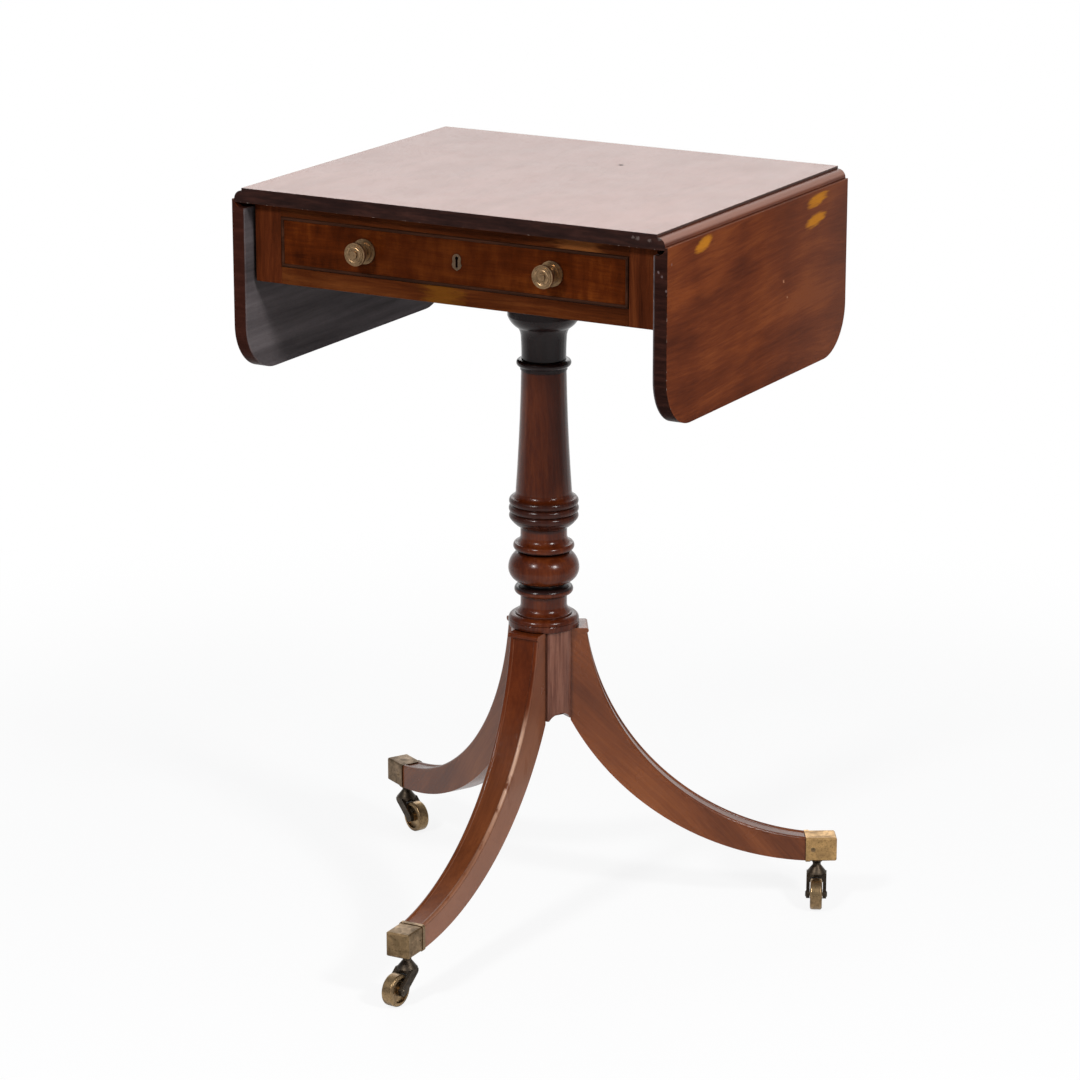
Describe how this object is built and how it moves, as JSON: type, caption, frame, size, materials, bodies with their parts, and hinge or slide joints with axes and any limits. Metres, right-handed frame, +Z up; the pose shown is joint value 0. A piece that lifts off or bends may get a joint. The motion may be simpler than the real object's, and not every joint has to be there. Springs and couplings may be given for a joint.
{
  "type": "drop-leaf work table",
  "caption": "Small pedestal table with hanging side leaves on rule joints, a frieze drawer, a turned pillar and sabre legs ending in brass box-cap castors.",
  "frame": {"origin": "on the floor under the pillar's axis, with the castor wheels at rest on z = 0", "axes": "+Z up; -Y the way the drawer faces and opens; +X and -X towards the two leaves"},
  "size_m": [0.4986, 0.4781, 0.714],
  "materials": {
    "mahogany": "red-brown mahogany, wax polished",
    "figured_mahogany": "figured mahogany, polished",
    "pillar_mahogany": "turned mahogany, polished, with blackened capital and collars",
    "black_bead": "blackened bead",
    "oak": "unpolished secondary wood",
    "steel": "dull",
    "brass": "aged, lightly stained",
    "dark_brass": "dark aged"
  },
  "bodies": {
    "frame": {"top_board": "mahogany", "front_left_post": "mahogany", "front_right_post": "mahogany", "back_left_post": "mahogany", "back_right_post": "mahogany", "back_rail": "mahogany", "front_leg": "mahogany", "right_leg": "mahogany", "left_leg": "mahogany", "front_top_rail": "figured_mahogany", "front_bottom_rail": "figured_mahogany", "pillar": "pillar_mahogany", "pillar_bearer": "pillar_mahogany", "left_side_rail": "oak", "right_side_rail": "oak", "left_fly_blocks": "oak", "right_fly_blocks": "oak", "left_fly_bracket": "oak", "right_fly_bracket": "oak", "drawer_runners": "oak", "drawer_kickers": "oak", "drawer_stops": "oak", "hinge_pins": "steel", "hinge_fixed_screws": "steel", "fly_bracket_pins": "steel", "fly_block_screws": "steel", "top_screws": "steel", "bearer_screws": "steel", "front_toe_cap": "brass", "right_toe_cap": "brass", "left_toe_cap": "brass", "hinge_fixed_flaps": "dark_brass", "cap_screws": "dark_brass"},
    "left_leaf": {"left_leaf": "mahogany", "left_hinge_flaps": "dark_brass", "left_leaf_screws": "steel"},
    "right_leaf": {"right_leaf": "mahogany", "right_hinge_flaps": "dark_brass", "right_leaf_screws": "steel"},
    "drawer": {"drawer_front": "figured_mahogany", "drawer_left_side": "oak", "drawer_right_side": "oak", "drawer_back": "oak", "drawer_bottom": "oak", "drawer_cockbeads": "black_bead", "drawer_knobs": "brass", "knob_nuts": "brass", "keyhole_plate": "brass", "lock_case": "brass", "lock_bolt": "steel"},
    "front_castor": {"front_castor_fork": "dark_brass", "front_castor_axle": "dark_brass"},
    "front_wheel": {"front_castor_wheel": "brass"},
    "right_castor": {"right_castor_fork": "dark_brass", "right_castor_axle": "dark_brass"},
    "right_wheel": {"right_castor_wheel": "brass"},
    "left_castor": {"left_castor_fork": "dark_brass", "left_castor_axle": "dark_brass"},
    "left_wheel": {"left_castor_wheel": "brass"}
  },
  "joints": [
    {"name": "left_leaf_hinge", "type": "hinge", "parent": "frame", "child": "left_leaf", "pos_m": [-0.212, 0, 0.7035], "axis": [0, 1, 0], "range_deg": [0, 90]},
    {"name": "right_leaf_hinge", "type": "hinge", "parent": "frame", "child": "right_leaf", "pos_m": [0.212, 0, 0.7035], "axis": [0, -1, 0], "range_deg": [0, 90]},
    {"name": "drawer_slide", "type": "slide", "parent": "frame", "child": "drawer", "axis": [0, -1, 0], "range_m": [0, 0.24]},
    {"name": "front_swivel", "type": "hinge", "parent": "frame", "child": "front_castor", "pos_m": [0.00599, -0.26393, 0.04], "axis": [0, 0, 1], "continuous": true},
    {"name": "front_wheel_turn", "type": "hinge", "parent": "front_castor", "child": "front_wheel", "pos_m": [0.00442, -0.28186, 0.015], "axis": [0.9962, -0.0872, 0], "continuous": true},
    {"name": "right_swivel", "type": "hinge", "parent": "frame", "child": "right_castor", "pos_m": [0.22558, 0.13715, 0.04], "axis": [0, 0, 1], "continuous": true},
    {"name": "right_wheel_turn", "type": "hinge", "parent": "right_castor", "child": "right_wheel", "pos_m": [0.23318, 0.12084, 0.015], "axis": [0.9063, 0.4226, 0], "continuous": true},
    {"name": "left_swivel", "type": "hinge", "parent": "frame", "child": "left_castor", "pos_m": [-0.23157, 0.12678, 0.04], "axis": [0, 0, 1], "continuous": true},
    {"name": "left_wheel_turn", "type": "hinge", "parent": "left_castor", "child": "left_wheel", "pos_m": [-0.21525, 0.11917, 0.015], "axis": [0.4226, 0.9063, 0], "continuous": true}
  ]
}
